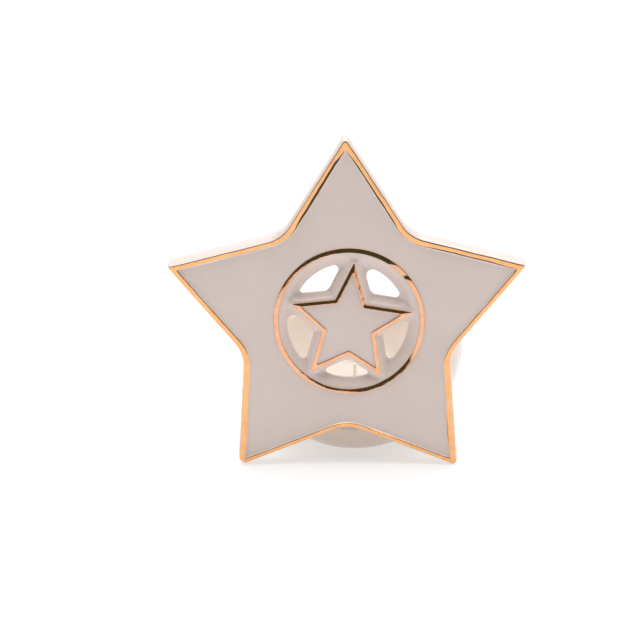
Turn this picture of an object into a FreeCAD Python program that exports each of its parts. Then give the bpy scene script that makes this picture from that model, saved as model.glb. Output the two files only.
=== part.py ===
"""Star tealight holder: a ceramic star panel with a pierced round centre and gold lines,
a bowl-shaped cup luted to its back, and a tealight that lifts out of the cup.

Millimetres, +Z up. The panel's face looks along -Y. The origin is the centre of the footprint
of the whole object, on the surface it stands on.
"""
import FreeCAD, Part
import math
import os

V = FreeCAD.Vector

# Star outline, taken at its widest line. Corner radii are those of the corners before rounding.
TIP_RADIUS = 61.1
NOTCH_RADIUS = 35.15
TIP_ROUND = 1.1
NOTCH_ROUND = 11.5
POINTS = 5

# Section through the panel, as depths behind the crest of the gold lines.
FACE_DEPTH = 0.7
PANEL_DEPTH = 8.0
EDGE_ROUND = 0.9

# Gold line round the outline.
BORDER_INSET = 0.5
BORDER_WIDTH = 2.2
BORDER_SLOPE = 0.45

# Gold ring, centred a little off the star's own centre, as the hand-finished piece is.
RING_CENTRE = (0.8, 0.0)
RING_OUTER = 24.3
RING_INNER = 22.85

# Pierced medallion inside the ring.
MEDALLION_GAP = 0.05
DISH_DEPTH = 3.0
DISH_RUN = 3.0
MEDALLION_DEPTH = 5.2

# Small star in the medallion: distance and bearing of each corner from its own centre.
SMALL_CENTRE = (1.1, -1.4)
SMALL_TIPS = ((21.2, 85.8), (20.2, 158.8), (20.3, 230.5), (19.8, 300.3), (20.8, 12.2))
SMALL_NOTCHES = ((9.9, 118.5), (9.2, 191.5), (10.0, 266.5), (8.7, 338.5), (8.7, 53.0))
SMALL_LINE_WIDTH = 1.3
SMALL_LINE_SLOPE = 0.3
SMALL_FLANK_RUN = 1.5

# The five windows, one at each notch of the small star: radius of the round side about the ring's
# centre, how far the other two sides stay from the small star's sides before and after the notch,
# and the corner radii at the notch and at the far ends of those two sides.
WINDOWS = (
    (18.5, 3.1, 2.5, (2.6, 1.3, 0.8)),
    (20.2, 2.5, 2.4, (1.4, 2.2, 1.3)),
    (19.6, 1.5, 1.6, (2.2, 1.2, 0.9)),
    (19.1, 2.4, 1.4, (0.8, 1.4, 1.2)),
    (18.3, 3.2, 2.3, (2.6, 1.1, 2.0)),
)

# Cup: a bowl turned about a vertical axis, trimmed where the panel closes it.
CUP_X = 2.2
CUP_BEHIND_CREST = 30.5
CUP_RADIUS = 36.4
CUP_WIDEST_HEIGHT = 32.8
CUP_RIM_HEIGHT = 36.0
FOOT_RADIUS = 14.6
FOOT_ROUND = 0.8
WALL = 4.0
FLOOR_HEIGHT = 7.5
FLOOR_RADIUS = 20.6
TRIM_GAP = 0.05
TRIM_BEHIND_CREST = 1.2

# Tealight: a 38 mm aluminium can with its wax, wick and wick sustainer.
CAN_RADIUS = 19.0
CAN_HEIGHT = 15.5
CAN_WALL = 0.3
CAN_STANDS_OFF = 0.1
CAN_BEAD = 0.45
WAX_HEIGHT = 13.6
WAX_GAP = 0.05
WAX_TOP_ROUND = 0.8
WICK_RADIUS = 0.65
WICK_HEIGHT = 17.6
PLATE_RADIUS = 6.0
PLATE_THICK = 0.3
NECK_RADIUS = 1.3
NECK_HEIGHT = 3.0

# Where the panel and the cup stand, worked out from the dimensions above.
TIP_HALF_ANGLE = math.atan2(
    NOTCH_RADIUS * math.sin(math.pi / POINTS),
    TIP_RADIUS - NOTCH_RADIUS * math.cos(math.pi / POINTS),
)
TIP_ARC_CENTRE = TIP_RADIUS - TIP_ROUND / math.sin(TIP_HALF_ANGLE)
STAR_HEIGHT = TIP_ARC_CENTRE * math.cos(math.pi / POINTS) + TIP_ROUND
TOTAL_DEPTH = CUP_BEHIND_CREST + CUP_RADIUS
CREST_Y = -TOTAL_DEPTH / 2
FACE_Y = CREST_Y + FACE_DEPTH
BACK_Y = CREST_Y + PANEL_DEPTH
CUP_Y = CREST_Y + CUP_BEHIND_CREST
CLEAR_AHEAD = 20.0


def spot(x, y, height):
    """A point given by its place across the star, its depth in Y and its height above the star's centre."""
    return V(x, y, STAR_HEIGHT + height)


def rounded_wire(corners, y):
    """A closed outline in the plane at depth y from (x, height, corner radius) corners."""
    count = len(corners)
    ends = []
    for i, (x, h, radius) in enumerate(corners):
        here = V(x, 0, h)
        back = V(corners[i - 1][0], 0, corners[i - 1][1]) - here
        ahead = V(corners[(i + 1) % count][0], 0, corners[(i + 1) % count][1]) - here
        if radius <= 0:
            ends.append((here, None, here))
            continue
        half = back.getAngle(ahead) / 2
        back.normalize()
        ahead.normalize()
        reach = radius / math.tan(half)
        middle = back + ahead
        middle.normalize()
        ends.append(
            (here + back * reach, here + middle * (radius / math.sin(half) - radius), here + ahead * reach)
        )
    edges = []
    for i, (start, middle, end) in enumerate(ends):
        if middle is not None:
            edges.append(Part.Arc(*(spot(p.x, y, p.z) for p in (start, middle, end))).toShape())
        follow = ends[(i + 1) % count][0]
        edges.append(Part.makeLine(spot(end.x, y, end.z), spot(follow.x, y, follow.z)))
    return Part.Wire(edges)


def big_star(inset, y):
    """The outline of the big star, moved inwards by inset."""
    tip = TIP_RADIUS - inset / math.sin(TIP_HALF_ANGLE)
    notch = NOTCH_RADIUS - inset / math.sin(TIP_HALF_ANGLE + math.pi / POINTS)
    corners = []
    for k in range(POINTS):
        tip_at = math.radians(90 + 360 / POINTS * k)
        notch_at = tip_at + math.pi / POINTS
        corners.append((tip * math.cos(tip_at), tip * math.sin(tip_at), max(TIP_ROUND - inset, 0)))
        corners.append((notch * math.cos(notch_at), notch * math.sin(notch_at), NOTCH_ROUND + inset))
    return rounded_wire(corners, y)


def small_corners():
    """The small star's corners in order, tip then notch, as vectors across the star."""
    corners = []
    for pair in zip(SMALL_TIPS, SMALL_NOTCHES):
        for radius, bearing in pair:
            at = math.radians(bearing)
            corners.append(
                V(SMALL_CENTRE[0] + radius * math.cos(at), 0, SMALL_CENTRE[1] + radius * math.sin(at))
            )
    return corners


def moved_side(start, end, out):
    """A side of the small star moved outwards: a point on it and its direction."""
    along = (end - start).normalize()
    return start + V(along.z, 0, -along.x) * out, along


def crossing(first, second):
    """Where two sides, each a point and a direction, cross."""
    (p, u), (q, w) = first, second
    gap = q - p
    share = (gap.x * w.z - gap.z * w.x) / (u.x * w.z - u.z * w.x)
    return p + u * share


def small_star(out, y):
    """The outline of the small star, moved outwards by out, with sharp corners."""
    corners = small_corners()
    count = len(corners)
    sides = [moved_side(corners[i], corners[(i + 1) % count], out) for i in range(count)]
    moved = [crossing(sides[i - 1], sides[i]) for i in range(count)]
    return rounded_wire([(p.x, p.z, 0) for p in moved], y)


def between(front_wire, back_wire):
    """The solid between two outlines at different depths."""
    return Part.makeLoft([front_wire, back_wire], True, True)


def ring_axis_cylinder(radius, y_from, y_to):
    """A round bar along Y through the ring's centre."""
    return Part.makeCylinder(radius, y_to - y_from, spot(RING_CENTRE[0], y_from, RING_CENTRE[1]), V(0, 1, 0))


def star_panel():
    """The star-shaped plate with rounded edges and a round opening for the medallion."""
    depth = V(0, BACK_Y - FACE_Y, 0)
    slab = Part.Face(big_star(0, FACE_Y)).extrude(depth)
    rims = [e for e in slab.Edges if abs(e.BoundBox.YMax - e.BoundBox.YMin) < 1e-6]
    slab = slab.makeFillet(EDGE_ROUND, rims)
    opening = (RING_OUTER + RING_INNER) / 2
    return slab.cut(ring_axis_cylinder(opening, FACE_Y - 1, BACK_Y + 1))


def border_line():
    """The raised gold line that follows the star's outline."""
    outer = between(big_star(BORDER_INSET + BORDER_SLOPE, CREST_Y), big_star(BORDER_INSET, FACE_Y))
    inner_edge = BORDER_INSET + BORDER_WIDTH
    inner = between(big_star(inner_edge - BORDER_SLOPE, CREST_Y), big_star(inner_edge, FACE_Y))
    return outer.cut(inner)


def ring_line():
    """The raised gold ring, a half-round bead over the joint between panel and medallion."""
    x, h = RING_CENTRE
    middle = (RING_OUTER + RING_INNER) / 2
    inner, crest, outer = (
        spot(x + RING_INNER, FACE_Y, h),
        spot(x + middle, CREST_Y, h),
        spot(x + RING_OUTER, FACE_Y, h),
    )
    section = Part.Face(Part.Wire([Part.Arc(inner, crest, outer).toShape(), Part.makeLine(outer, inner)]))
    return section.revolve(spot(x, 0, h), V(0, 1, 0), 360)


def small_star_line():
    """The raised gold line that follows the small star."""
    outer = between(small_star(-SMALL_LINE_SLOPE, CREST_Y), small_star(0, FACE_Y))
    inner = between(
        small_star(SMALL_LINE_SLOPE - SMALL_LINE_WIDTH, CREST_Y), small_star(-SMALL_LINE_WIDTH, FACE_Y)
    )
    return outer.cut(inner)


def upright_edge_nearest(bar, place):
    """The edge along Y of a bar that passes nearest to a place across the star."""
    target = spot(place.x, 0, place.z)
    uprights = [e for e in bar.Edges if e.BoundBox.YMax - e.BoundBox.YMin > PANEL_DEPTH / 2]

    def reach(edge):
        at = edge.Vertexes[0].Point
        return (V(at.x, 0, at.z) - target).Length

    return min(uprights, key=reach)


def window(index):
    """The bar that cuts one window: two straight sides beside the small star and one round side."""
    outer_radius, first_gap, second_gap, roundings = WINDOWS[index]
    corners = small_corners()
    notch = 2 * index + 1
    tip_before, tip_after = corners[notch - 1], corners[(notch + 1) % len(corners)]
    first = moved_side(tip_before, corners[notch], first_gap)
    second = moved_side(corners[notch], tip_after, second_gap)
    apex = crossing(first, second)
    far = 3 * RING_OUTER
    outline = [apex, apex + second[1] * far, apex - first[1] * far]
    wedge = Part.Face(rounded_wire([(p.x, p.z, 0) for p in outline], CREST_Y))
    bar = wedge.extrude(V(0, PANEL_DEPTH, 0))
    bar = bar.common(ring_axis_cylinder(outer_radius, CREST_Y, BACK_Y))
    for place, radius in zip((apex, tip_before, tip_after), roundings):
        bar = bar.makeFillet(radius, [upright_edge_nearest(bar, place)])
    return bar


def pierced_medallion():
    """The dished disc that carries the small star, with five windows round the star."""
    radius = (RING_OUTER + RING_INNER) / 2 - MEDALLION_GAP
    disc = ring_axis_cylinder(radius, FACE_Y, CREST_Y + MEDALLION_DEPTH)
    dish = Part.makeCone(
        RING_INNER,
        RING_INNER - DISH_RUN,
        DISH_DEPTH - FACE_DEPTH,
        spot(RING_CENTRE[0], FACE_Y, RING_CENTRE[1]),
        V(0, 1, 0),
    )
    boss = between(small_star(0, FACE_Y), small_star(SMALL_FLANK_RUN, CREST_Y + DISH_DEPTH))
    disc = disc.cut(dish.cut(boss))
    for index in range(len(WINDOWS)):
        disc = disc.cut(window(index))
    return disc


def arc_up(start, end, centre_height):
    """An arc from start to end whose tangent at end is vertical, centred at end's height."""
    (r0, h0), (r1, h1) = start, end
    drop = centre_height - h0
    centre = (r1 * r1 - r0 * r0 - drop * drop) / (2 * (r1 - r0))
    radius = r1 - centre
    middle_at = math.atan2(drop, r0 - centre) / 2
    middle = V(centre + radius * math.cos(middle_at), 0, centre_height - radius * math.sin(middle_at))
    return Part.Arc(V(r0, 0, h0), middle, V(r1, 0, h1)).toShape()


def cup():
    """The bowl on its flat foot, trimmed to the panel's back and to the star's lower edge."""
    outer_widest = (CUP_RADIUS, CUP_WIDEST_HEIGHT)
    inner_widest = (CUP_RADIUS - WALL, CUP_WIDEST_HEIGHT)
    lip_outer = V(CUP_RADIUS, 0, CUP_RIM_HEIGHT - WALL / 2)
    lip_top = V(CUP_RADIUS - WALL / 2, 0, CUP_RIM_HEIGHT)
    lip_inner = V(CUP_RADIUS - WALL, 0, CUP_RIM_HEIGHT - WALL / 2)
    axis_foot = V(0, 0, 0)
    axis_floor = V(0, 0, FLOOR_HEIGHT)
    foot_edge = V(FOOT_RADIUS, 0, 0)
    floor_edge = V(FLOOR_RADIUS, 0, FLOOR_HEIGHT)
    section = Part.Wire(
        [
            Part.makeLine(axis_foot, foot_edge),
            arc_up((FOOT_RADIUS, 0), outer_widest, CUP_WIDEST_HEIGHT),
            Part.makeLine(V(CUP_RADIUS, 0, CUP_WIDEST_HEIGHT), lip_outer),
            Part.Arc(lip_outer, lip_top, lip_inner).toShape(),
            Part.makeLine(lip_inner, V(CUP_RADIUS - WALL, 0, CUP_WIDEST_HEIGHT)),
            arc_up((FLOOR_RADIUS, FLOOR_HEIGHT), inner_widest, CUP_WIDEST_HEIGHT),
            Part.makeLine(floor_edge, axis_floor),
            Part.makeLine(axis_floor, axis_foot),
        ]
    )
    bowl = Part.Face(section).revolve(V(0, 0, 0), V(0, 0, 1), 360)
    foot_circle = [e for e in bowl.Edges if e.BoundBox.ZMax < 1e-6 and e.BoundBox.XMax > FOOT_RADIUS - 0.01]
    bowl = bowl.makeFillet(FOOT_ROUND, foot_circle)
    bowl.translate(V(CUP_X, CUP_Y, 0))
    in_front = CREST_Y - CLEAR_AHEAD
    panel_space = Part.Face(big_star(-TRIM_GAP, in_front)).extrude(V(0, BACK_Y - in_front, 0))
    trimmed = bowl.cut(panel_space)
    side = 2 * CUP_RADIUS
    ahead = Part.makeBox(2 * side, side, side, V(CUP_X - side, CREST_Y + TRIM_BEHIND_CREST - side, 0))
    return trimmed.cut(ahead)


def turned(points, base_height):
    """A solid turned about the cup's axis from straight section points of (radius, height)."""
    loop = [V(CUP_X + r, CUP_Y, base_height + h) for r, h in points]
    wire = Part.makePolygon(loop + loop[:1])
    return Part.Face(wire).revolve(V(CUP_X, CUP_Y, 0), V(0, 0, 1), 360)


CAN_BASE = FLOOR_HEIGHT + CAN_STANDS_OFF


def tealight_can():
    """The thin can with its rolled top edge."""
    inner = CAN_RADIUS - CAN_BEAD
    shell = turned(
        [
            (0, 0),
            (inner, 0),
            (inner, CAN_HEIGHT - CAN_BEAD),
            (inner - CAN_WALL, CAN_HEIGHT - CAN_BEAD),
            (inner - CAN_WALL, CAN_WALL),
            (0, CAN_WALL),
        ],
        CAN_BASE,
    )
    bead = Part.makeTorus(
        inner - CAN_WALL / 2, CAN_BEAD, V(CUP_X, CUP_Y, CAN_BASE + CAN_HEIGHT - CAN_BEAD), V(0, 0, 1)
    )
    return shell.fuse(bead).removeSplitter()


def tealight_wax():
    """The wax, filling the can round the wick and over the sustainer."""
    radius = CAN_RADIUS - CAN_BEAD - CAN_WALL - WAX_GAP
    bottom = CAN_WALL + WAX_GAP
    return turned(
        [
            (PLATE_RADIUS + WAX_GAP, bottom),
            (radius, bottom),
            (radius, WAX_HEIGHT - WAX_TOP_ROUND),
            (radius - WAX_TOP_ROUND, WAX_HEIGHT),
            (WICK_RADIUS + WAX_GAP, WAX_HEIGHT),
            (WICK_RADIUS + WAX_GAP, CAN_WALL + NECK_HEIGHT + WAX_GAP),
            (NECK_RADIUS + WAX_GAP, CAN_WALL + NECK_HEIGHT + WAX_GAP),
            (NECK_RADIUS + WAX_GAP, CAN_WALL + PLATE_THICK + 2 * WAX_GAP),
            (PLATE_RADIUS + WAX_GAP, CAN_WALL + PLATE_THICK + 2 * WAX_GAP),
        ],
        CAN_BASE,
    )


def wick_sustainer():
    """The little tin plate with a neck that keeps the wick upright."""
    lift = CAN_WALL + WAX_GAP
    return turned(
        [
            (WICK_RADIUS + WAX_GAP, lift),
            (PLATE_RADIUS, lift),
            (PLATE_RADIUS, lift + PLATE_THICK),
            (NECK_RADIUS, lift + PLATE_THICK),
            (NECK_RADIUS, CAN_WALL + NECK_HEIGHT),
            (WICK_RADIUS + WAX_GAP, CAN_WALL + NECK_HEIGHT),
        ],
        CAN_BASE,
    )


def tealight_wick():
    """The wick, from the can's floor to above the wax."""
    lift = CAN_WALL + WAX_GAP
    return turned([(0, lift), (WICK_RADIUS, lift), (WICK_RADIUS, WICK_HEIGHT), (0, WICK_HEIGHT)], CAN_BASE)


PARTS = {
    "star_panel": star_panel,
    "pierced_medallion": pierced_medallion,
    "outline_gold_line": border_line,
    "ring_gold_line": ring_line,
    "small_star_gold_line": small_star_line,
    "cup": cup,
    "tealight_can": tealight_can,
    "tealight_wax": tealight_wax,
    "tealight_wick": tealight_wick,
    "wick_sustainer": wick_sustainer,
}

os.makedirs("parts", exist_ok=True)
for name, make in PARTS.items():
    shape = make()
    box = shape.BoundBox
    print(
        f"{name}: solids {len(shape.Solids)} valid {shape.isValid()} volume {shape.Volume:.1f} "
        f"x {box.XMin:.2f} {box.XMax:.2f} y {box.YMin:.2f} {box.YMax:.2f} z {box.ZMin:.2f} {box.ZMax:.2f}"
    )
    shape.exportStep(f"parts/{name}.step")
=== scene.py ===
import math

import bmesh
import bpy
import numpy as np
from mathutils import Matrix, Vector, noise
from mathutils.geometry import delaunay_2d_cdt


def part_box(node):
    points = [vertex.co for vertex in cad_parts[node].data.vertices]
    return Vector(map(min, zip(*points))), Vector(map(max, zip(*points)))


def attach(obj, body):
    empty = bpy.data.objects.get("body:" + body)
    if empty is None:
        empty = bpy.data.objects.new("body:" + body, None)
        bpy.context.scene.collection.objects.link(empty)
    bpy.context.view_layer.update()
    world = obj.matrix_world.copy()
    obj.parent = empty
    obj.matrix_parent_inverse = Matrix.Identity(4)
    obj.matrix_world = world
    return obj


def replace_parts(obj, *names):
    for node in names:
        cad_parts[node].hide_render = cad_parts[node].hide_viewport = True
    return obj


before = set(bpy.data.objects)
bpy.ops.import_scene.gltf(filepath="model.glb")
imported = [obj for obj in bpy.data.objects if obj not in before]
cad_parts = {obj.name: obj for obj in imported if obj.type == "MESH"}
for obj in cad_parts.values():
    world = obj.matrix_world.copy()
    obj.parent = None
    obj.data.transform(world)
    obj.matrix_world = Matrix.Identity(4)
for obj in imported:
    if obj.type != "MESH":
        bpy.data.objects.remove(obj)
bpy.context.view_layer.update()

MM = 0.001
TAU = 2 * math.pi

# ---- dimensions, in millimetres
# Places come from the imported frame; the rest repeats the CAD's own driving dimensions.


def box_mm(node):
    """Lowest and highest corner of a CAD node, in millimetres."""
    low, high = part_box(node)
    return np.array(low) / MM, np.array(high) / MM


PANEL_LOW, PANEL_HIGH = box_mm("star_panel")
BORDER_LOW, _ = box_mm("outline_gold_line")
RING_LOW, RING_HIGH = box_mm("ring_gold_line")
_, MEDALLION_HIGH = box_mm("pierced_medallion")
_, CUP_HIGH = box_mm("cup")
CAN_LOW, CAN_HIGH = box_mm("tealight_can")
WAX_LOW, WAX_HIGH = box_mm("tealight_wax")
WICK_LOW, WICK_HIGH = box_mm("tealight_wick")

CREST_Y = BORDER_LOW[1]
FACE_Y = PANEL_LOW[1]
BACK_Y = PANEL_HIGH[1]

TIP_RADIUS = 61.1
NOTCH_RADIUS = 35.15
TIP_ROUND = 1.1
NOTCH_ROUND = 11.5
# Roundness of each point as it was made, anticlockwise from the top, and the least it shrinks to.
TIP_ROUNDS_MADE = (1.6, 1.1, 2.2, 1.3, 1.1)
LEAST_TIP_ROUND = 0.4
POINTS = 5
TIP_HALF_ANGLE = math.atan2(
    NOTCH_RADIUS * math.sin(math.pi / POINTS),
    TIP_RADIUS - NOTCH_RADIUS * math.cos(math.pi / POINTS),
)
TIP_ARC_CENTRE = TIP_RADIUS - TIP_ROUND / math.sin(TIP_HALF_ANGLE)
STAR_HEIGHT = PANEL_HIGH[2] - TIP_ARC_CENTRE - TIP_ROUND

RING_CENTRE = np.array([(RING_LOW[0] + RING_HIGH[0]) / 2, (RING_LOW[2] + RING_HIGH[2]) / 2 - STAR_HEIGHT])
RING_OUTER = (RING_HIGH[0] - RING_LOW[0]) / 2
RING_LINE_WIDTH = 1.45
RING_INNER = RING_OUTER - RING_LINE_WIDTH
OPENING_RADIUS = (RING_OUTER + RING_INNER) / 2

CUP_AXIS = (CAN_LOW[:2] + CAN_HIGH[:2]) / 2
CUP_RADIUS = CUP_HIGH[1] - CUP_AXIS[1]
CUP_RIM_HEIGHT = CUP_HIGH[2]

# Section through the panel, as inset from its widest line and depth behind its crest: a steep
# shoulder, a border that is highest along its middle, a ridge down to the face, a rounded back.
FACE_DEPTH = FACE_Y - CREST_Y
PANEL_DEPTH = BACK_Y - CREST_Y
SHOULDER_DEPTH = 1.3
SHOULDER_BEND = 1.08
RIDGE_INNER = 3.2
RIDGE_RUN = 0.8
CROWN_MIDDLE = 1.4
CROWN_HALF = 0.8
CROWN_DROP = 0.05
BACK_ROUND = 1.2
OPENING_LIP = 0.7

# Gold line round the outline: where it starts, counted in from the widest line, and the width that
# the brush left, for the ten sides anticlockwise from the top point as seen from the front.
BORDER_STARTS = (0.75, 1.05, 0.42, 0.42, 0.42, 0.42, 0.42, 0.42, 0.65, 0.6)
BORDER_WIDTHS = (1.9, 1.4, 1.6, 2.0, 1.25, 1.25, 1.95, 1.35, 1.8, 1.8)
GILDING_THICK = 0.04
GILDING_SETS_IN = 0.05
GOLD_SHARP = 55
# How far the shoulder stops short of the gold, and how far the ridge's foot lies beyond it.
SHOULDER_GAP = 0.10
RIDGE_MARGIN = 0.6
# Where a dark brown strip is painted along the inner edge of the border's gold as a painted reflection of
# the dark surroundings: the side, and how far the strip reaches.
PAINTED_REFLECTION_EDGES = ((0, 0.8), (8, 0.34), (9, 0.45))
PAINTED_REFLECTION_EDGE_ENDS = 3
PAINTED_REFLECTION_EDGE_TAPER = 14
PAINTED_REFLECTION_EDGE_LIFT = 0.015

# How far the top of each gold line leans outwards, in degrees: by bearing round the ring, and for
# the small star by side, anticlockwise from its top point.
RING_LEAN = (
    (0, 0), (34, 1), (37, 18), (39, 18), (42, 1), (50, 2), (56, 16), (100, 16), (114, 10), (150, 14),
    (165, 5), (205, 0), (228, -9), (265, -8), (280, -14), (325, -18), (340, -6), (360, 0),
)
SMALL_LEAN = (22, 15, 9, 7, 7, 7, 7, 8, 15, 34)
# Section of the ring's and the small star's lines: height over the face, crown, how square the top
# is, how far its lean reaches from the middle, and how deep its foot is sunk into the glaze.
BEAD_HEIGHT = 0.36
BEAD_CROWN = 0.04
BEAD_SQUARENESS = 60
BEAD_REACH = 0.72
BEAD_FOOT = 0.08

# Small star, as distance and bearing of each corner from its centre, and the windows round it.
SMALL_CENTRE = np.array([1.1, -1.4])
SMALL_TIPS = ((21.2, 85.8), (20.2, 158.8), (20.3, 230.5), (19.8, 300.3), (20.8, 12.2))
SMALL_NOTCHES = ((9.9, 118.5), (9.2, 191.5), (10.0, 266.5), (8.7, 338.5), (8.7, 53.0))
SMALL_LINE_WIDTH = 1.3
# Each window: its round side's radius about the ring's centre, how far it keeps from the star's
# sides before and after the notch, and its corner radii at the notch and at those two sides.
WINDOWS = (
    (18.5, 3.1, 2.5, (2.6, 1.3, 0.8)),
    (20.2, 2.5, 2.4, (1.4, 2.2, 1.3)),
    (19.6, 1.5, 1.6, (2.2, 1.2, 0.9)),
    (19.1, 2.4, 1.4, (0.8, 1.4, 1.2)),
    (18.3, 3.2, 2.3, (2.6, 1.1, 2.0)),
)


# ---- small helpers


def wobble(x, y, z, scale, seed):
    """Smooth noise between -1 and 1 at a point in millimetres; scale is the size of its bumps."""
    return noise.noise(Vector((x / scale + seed, y / scale - seed, z / scale + 2 * seed)))


def smooth(t):
    """Zero up to 0, one from 1 on, and a soft step between."""
    t = np.clip(t, 0.0, 1.0)
    return t * t * (3 - 2 * t)


def soft_ramp(distance, start, width, slope):
    """Zero before start and a straight slope after it, with a rounded bend between."""
    d = np.asarray(distance, float) - start
    return slope * (np.sqrt(d * d + width * width) + d) / 2


def soft_min(a, b, width):
    """The smaller of two values, with a rounded bend where they cross."""
    return (a + b - np.sqrt((a - b) ** 2 + width * width)) / 2


def on_panel(x, height, y):
    """A point across the star and above its centre, at a depth in the part's own frame."""
    return (x, y, STAR_HEIGHT + height)


def with_straights(arcs, side_steps):
    """All points of a closed outline: its corner arcs and the straight sides between them."""
    points = []
    for i, arc in enumerate(arcs):
        run = arcs[(i + 1) % len(arcs)][0] - arc[-1]
        points.extend(arc)
        points.extend(arc[-1] + run * k / side_steps for k in range(1, side_steps))
    return points


def rounded_outline(corners, arc_steps, side_steps):
    """Points along a closed outline of (x, height, radius) corners.

    Every corner gives arc_steps[i] + 1 points and every side side_steps - 1 points between
    its ends, so outlines with the same steps match point for point.
    """
    count = len(corners)
    xy = np.array([c[:2] for c in corners], float)
    arcs = []
    for i in range(count):
        here, radius = xy[i], corners[i][2]
        back = xy[i - 1] - here
        ahead = xy[(i + 1) % count] - here
        back /= np.linalg.norm(back)
        ahead /= np.linalg.norm(ahead)
        half = math.acos(np.clip(back @ ahead, -1, 1)) / 2
        middle = (back + ahead) / np.linalg.norm(back + ahead)
        centre = here + middle * radius / math.sin(half)
        start = here + back * radius / math.tan(half)
        end = here + ahead * radius / math.tan(half)
        from_at = math.atan2(*(start - centre)[::-1])
        turn = (math.atan2(*(end - centre)[::-1]) - from_at + math.pi) % TAU - math.pi
        at = from_at + turn * np.linspace(0, 1, arc_steps[i] + 1)
        arcs.append(centre + radius * np.stack([np.cos(at), np.sin(at)], 1))
    return np.array(with_straights(arcs, side_steps))


def link(name, data):
    obj = bpy.data.objects.new(name, data)
    bpy.context.scene.collection.objects.link(obj)
    return obj


def link_mesh(name, verts, faces, weld=0.0):
    """A mesh object from millimetre points, with its faces turned outwards; weld joins near points."""
    mesh = bpy.data.meshes.new(name)
    mesh.from_pydata([tuple(float(c) * MM for c in v) for v in verts], [], faces)
    bm = bmesh.new()
    bm.from_mesh(mesh)
    if weld:
        bmesh.ops.remove_doubles(bm, verts=bm.verts, dist=weld)
    bmesh.ops.recalc_face_normals(bm, faces=bm.faces)
    bm.to_mesh(mesh)
    bm.free()
    return link(name, mesh)


def shade_smooth(mesh, sharp_degrees):
    """Smooth shading everywhere but over edges that turn more than that."""
    bm = bmesh.new()
    bm.from_mesh(mesh)
    for face in bm.faces:
        face.smooth = True
    for edge in bm.edges:
        turn = edge.calc_face_angle(0.0) if len(edge.link_faces) == 2 else 0.0
        edge.smooth = turn <= math.radians(sharp_degrees)
    bm.to_mesh(mesh)
    bm.free()


def add_mesh(name, verts, faces, body, material, sharp_degrees):
    """A smooth-shaded mesh object from millimetre points, riding on a body."""
    obj = link_mesh(name, verts, faces, weld=1e-7)
    shade_smooth(obj.data, sharp_degrees)
    obj.data.materials.append(material)
    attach(obj, body)
    return obj


def band_faces(loop_count, per_loop, close_loops):
    """Quads between consecutive loops of per_loop points; close_loops joins the last to the first."""
    faces = []
    for i in range(loop_count if close_loops else loop_count - 1):
        a = i * per_loop
        b = (i + 1) % loop_count * per_loop
        for j in range(per_loop):
            k = (j + 1) % per_loop
            faces.append((a + j, a + k, b + k, b + j))
    return faces


def strip(name, rows, body, material, sharp_degrees, closed=True):
    """A skin over rows of points. A closed one joins its last row to its first; others get end caps."""
    across = len(rows[0])
    verts = [p for row in rows for p in row]
    faces = band_faces(len(rows), across, closed)
    if not closed:
        faces.append(tuple(range(across)))
        faces.append(tuple(range(len(verts) - 1, len(verts) - across - 1, -1)))
    return add_mesh(name, verts, faces, body, material, sharp_degrees)


def lathe(name, profile, steps, body, material, shape, sharp_degrees):
    """A turned solid about the cup's axis. The profile runs from axis to axis as (radius, height);
    shape(radius, height, angle) may move a point, giving a new radius and height."""
    verts = []
    rings = profile[1:-1]
    for r, h in rings:
        for k in range(steps):
            at = TAU * k / steps
            rr, hh = shape(r, h, at)
            verts.append((CUP_AXIS[0] + rr * math.cos(at), CUP_AXIS[1] + rr * math.sin(at), hh))
    faces = band_faces(len(rings), steps, False)
    for (_, h), first in ((profile[0], 0), (profile[-1], (len(rings) - 1) * steps)):
        verts.append((*CUP_AXIS, h))
        faces += [(first + k, first + (k + 1) % steps, len(verts) - 1) for k in range(steps)]
    return add_mesh(name, verts, faces, body, material, sharp_degrees)


# ---- the panel

# Points along the big star's outline: round each point and notch in turn, and along each side.
STAR_ARCS = [10 if i % 2 == 0 else 18 for i in range(2 * POINTS)]
STAR_SIDE = 56


def big_star(inset):
    """The big star's outline moved inwards; its points stay a little rounded however far it moves."""
    tip = TIP_RADIUS - inset / math.sin(TIP_HALF_ANGLE)
    notch = NOTCH_RADIUS - inset / math.sin(TIP_HALF_ANGLE + math.pi / POINTS)
    corners = []
    for k in range(POINTS):
        tip_at = math.radians(90 + 360 / POINTS * k)
        notch_at = tip_at + math.pi / POINTS
        rounding = max(TIP_ROUNDS_MADE[k] - inset, LEAST_TIP_ROUND)
        corners.append((tip * math.cos(tip_at), tip * math.sin(tip_at), rounding))
        corners.append((notch * math.cos(notch_at), notch * math.sin(notch_at), NOTCH_ROUND + inset))
    return rounded_outline(corners, STAR_ARCS, STAR_SIDE)


def ring_at(radius, bearing):
    """Points about the ring's centre at some bearings, in radians."""
    return RING_CENTRE + radius * np.stack([np.cos(bearing), np.sin(bearing)], 1)


def flat_loop(points, y):
    return [on_panel(x, h, y) for x, h in points]


def side_span(side, arc_steps, side_steps):
    """First and last point of one side of a rounded outline, from mid-corner to mid-corner."""
    first = np.cumsum([0] + [arc + side_steps for arc in arc_steps])
    following = (side + 1) % len(arc_steps)
    return first[side] + arc_steps[side] // 2, first[side + 1] + arc_steps[following] // 2


def spread_over_sides(values, arc_steps, side_steps, soften):
    """A value for every point of a rounded outline from one value a side, blended at the corners."""
    count = sum(arc_steps) + side_steps * len(arc_steps)
    spread = np.zeros(count)
    for i, value in enumerate(values):
        spread[np.arange(*side_span(i, arc_steps, side_steps)) % count] = value
    kernel = np.hanning(soften + 2)[1:-1]
    kernel /= kernel.sum()
    around = np.concatenate([spread[-soften:], spread, spread[:soften]])
    return np.convolve(around, kernel, "same")[soften:-soften]


def over_star(values):
    """One value a side, spread over the big star's outline and blended round its corners."""
    return spread_over_sides(values, STAR_ARCS, STAR_SIDE, 31)


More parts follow.
